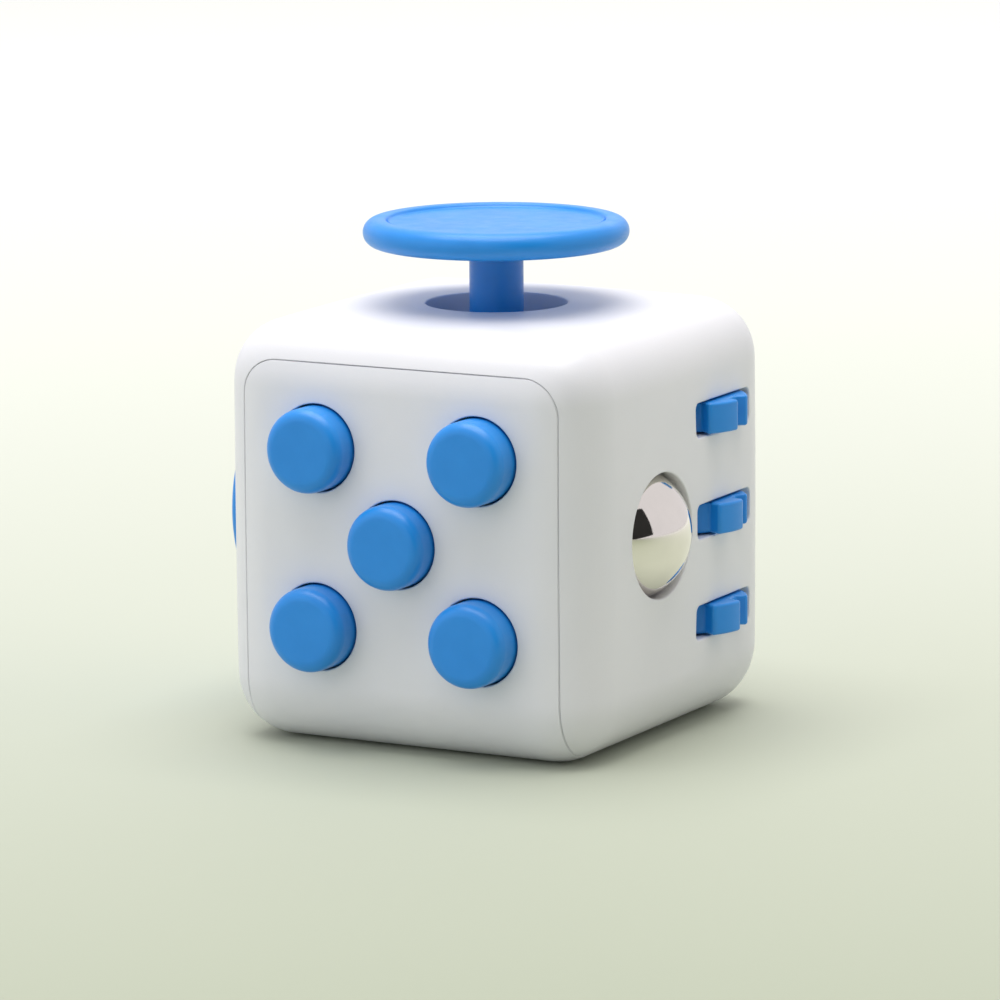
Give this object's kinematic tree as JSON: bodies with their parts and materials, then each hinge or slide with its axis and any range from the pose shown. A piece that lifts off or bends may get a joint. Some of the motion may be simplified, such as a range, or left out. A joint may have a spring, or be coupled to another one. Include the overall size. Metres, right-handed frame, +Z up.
{
  "type": "fidget cube",
  "caption": "Palm-sized fidget cube with push buttons, a tilting joystick disc, a rolling ball beside toothed wheels, a spin dial, a flip rocker and a thumb dish.",
  "frame": {"origin": "centre of the cube's underside, on the resting face", "axes": "+Z up towards the joystick, -Y out of the button face, +X out of the ball and wheel face, -X out of the dial face, +Y out of the rocker face"},
  "size_m": [0.037, 0.0372, 0.0395],
  "materials": {
    "white_shell": "smooth moulded plastic, satin",
    "blue_control": "smooth moulded plastic, soft satin",
    "grey_frame": "moulded frame plastic",
    "silicone": "translucent silicone",
    "spring_steel": "bright spring steel",
    "polished_ball": "polished to a mirror"
  },
  "bodies": {
    "cube_body": {"side_top_shell": "white_shell", "front_base_back_shell": "white_shell", "snap_dome_top_left": "spring_steel", "silent_pad_top_right": "silicone", "snap_dome_centre": "spring_steel", "silent_pad_bottom_left": "silicone", "snap_dome_bottom_right": "spring_steel", "button_carrier": "grey_frame", "joystick_housing": "grey_frame", "ball_bracket": "grey_frame", "wheel_comb": "grey_frame", "rocker_housing": "grey_frame", "dial_friction_ring": "silicone", "joystick_spring": "spring_steel", "ball_click_dome": "spring_steel", "wheel_axle": "spring_steel", "rocker_pin": "spring_steel", "rocker_leaf_spring": "spring_steel", "carrier_screw_top": "spring_steel", "carrier_screw_bottom": "spring_steel", "carrier_screw_left": "spring_steel", "carrier_screw_right": "spring_steel", "housing_screw_back": "spring_steel", "housing_screw_left": "spring_steel", "housing_screw_right": "spring_steel", "ball_screw_top": "spring_steel", "ball_screw_bottom": "spring_steel", "comb_screw_top": "spring_steel", "comb_screw_bottom": "spring_steel", "rocker_screw_top": "spring_steel", "rocker_screw_bottom": "spring_steel"},
    "button_top_left": {"button_top_left": "blue_control"},
    "button_top_right": {"button_top_right": "blue_control"},
    "button_centre": {"button_centre": "blue_control"},
    "button_bottom_left": {"button_bottom_left": "blue_control"},
    "button_bottom_right": {"button_bottom_right": "blue_control"},
    "joystick_gimbal": {"joystick_gimbal_ring": "grey_frame"},
    "joystick": {"joystick_stem": "blue_control", "joystick_disc": "blue_control"},
    "wheel_top": {"toothed_wheel_top": "blue_control"},
    "wheel_middle": {"toothed_wheel_middle": "blue_control"},
    "wheel_bottom": {"toothed_wheel_bottom": "blue_control"},
    "ball_seat": {"ball_saddle": "grey_frame"},
    "ball": {"steel_ball": "polished_ball"},
    "dial": {"spin_dial": "blue_control", "dial_retainer": "grey_frame", "dial_screw": "spring_steel"},
    "rocker": {"flip_rocker": "blue_control"}
  },
  "joints": [
    {"name": "button_top_left_press", "type": "slide", "parent": "cube_body", "child": "button_top_left", "axis": [0, 1, 0], "range_m": [0, 0.001], "stiffness_N_per_m": 1200, "springref_m": -0.0004, "deforming": ["snap_dome_top_left"]},
    {"name": "button_top_right_press", "type": "slide", "parent": "cube_body", "child": "button_top_right", "axis": [0, 1, 0], "range_m": [0, 0.001], "stiffness_N_per_m": 700, "springref_m": -0.0004, "deforming": ["silent_pad_top_right"]},
    {"name": "button_centre_press", "type": "slide", "parent": "cube_body", "child": "button_centre", "axis": [0, 1, 0], "range_m": [0, 0.001], "stiffness_N_per_m": 1200, "springref_m": -0.0004, "deforming": ["snap_dome_centre"]},
    {"name": "button_bottom_left_press", "type": "slide", "parent": "cube_body", "child": "button_bottom_left", "axis": [0, 1, 0], "range_m": [0, 0.001], "stiffness_N_per_m": 700, "springref_m": -0.0004, "deforming": ["silent_pad_bottom_left"]},
    {"name": "button_bottom_right_press", "type": "slide", "parent": "cube_body", "child": "button_bottom_right", "axis": [0, 1, 0], "range_m": [0, 0.001], "stiffness_N_per_m": 1200, "springref_m": -0.0004, "deforming": ["snap_dome_bottom_right"]},
    {"name": "joystick_tilt_front_back", "type": "hinge", "parent": "cube_body", "child": "joystick_gimbal", "pos_m": [0, 0, 0.024], "axis": [1, 0, 0], "range_deg": [-13, 13], "stiffness_Nm_per_rad": 0.06, "deforming": ["joystick_spring"]},
    {"name": "joystick_tilt_left_right", "type": "hinge", "parent": "joystick_gimbal", "child": "joystick", "pos_m": [0, 0, 0.024], "axis": [0, 1, 0], "range_deg": [-13, 13], "stiffness_Nm_per_rad": 0.06},
    {"name": "wheel_top_spin", "type": "hinge", "parent": "cube_body", "child": "wheel_top", "pos_m": [0.0128, 0.00655, 0.0244], "axis": [0, 0, 1], "continuous": true},
    {"name": "wheel_middle_spin", "type": "hinge", "parent": "cube_body", "child": "wheel_middle", "pos_m": [0.0128, 0.00655, 0.0165], "axis": [0, 0, 1], "continuous": true},
    {"name": "wheel_bottom_spin", "type": "hinge", "parent": "cube_body", "child": "wheel_bottom", "pos_m": [0.0128, 0.00655, 0.0086], "axis": [0, 0, 1], "continuous": true},
    {"name": "ball_press", "type": "slide", "parent": "cube_body", "child": "ball_seat", "axis": [-1, 0, 0], "range_m": [0, 0.0005], "stiffness_N_per_m": 3000, "springref_m": -0.0003, "deforming": ["ball_click_dome"]},
    {"name": "ball_roll", "type": "hinge", "parent": "ball_seat", "child": "ball", "pos_m": [0.013, -0.0041, 0.0165], "axis": [0, 0, 1], "continuous": true},
    {"name": "dial_spin", "type": "hinge", "parent": "cube_body", "child": "dial", "pos_m": [-0.0165, 0, 0.0165], "axis": [1, 0, 0], "continuous": true},
    {"name": "rocker_flip", "type": "hinge", "parent": "cube_body", "child": "rocker", "pos_m": [0, 0.0136, 0.0165], "axis": [1, 0, 0], "range_deg": [-22, 0], "deforming": ["rocker_leaf_spring"]}
  ]
}
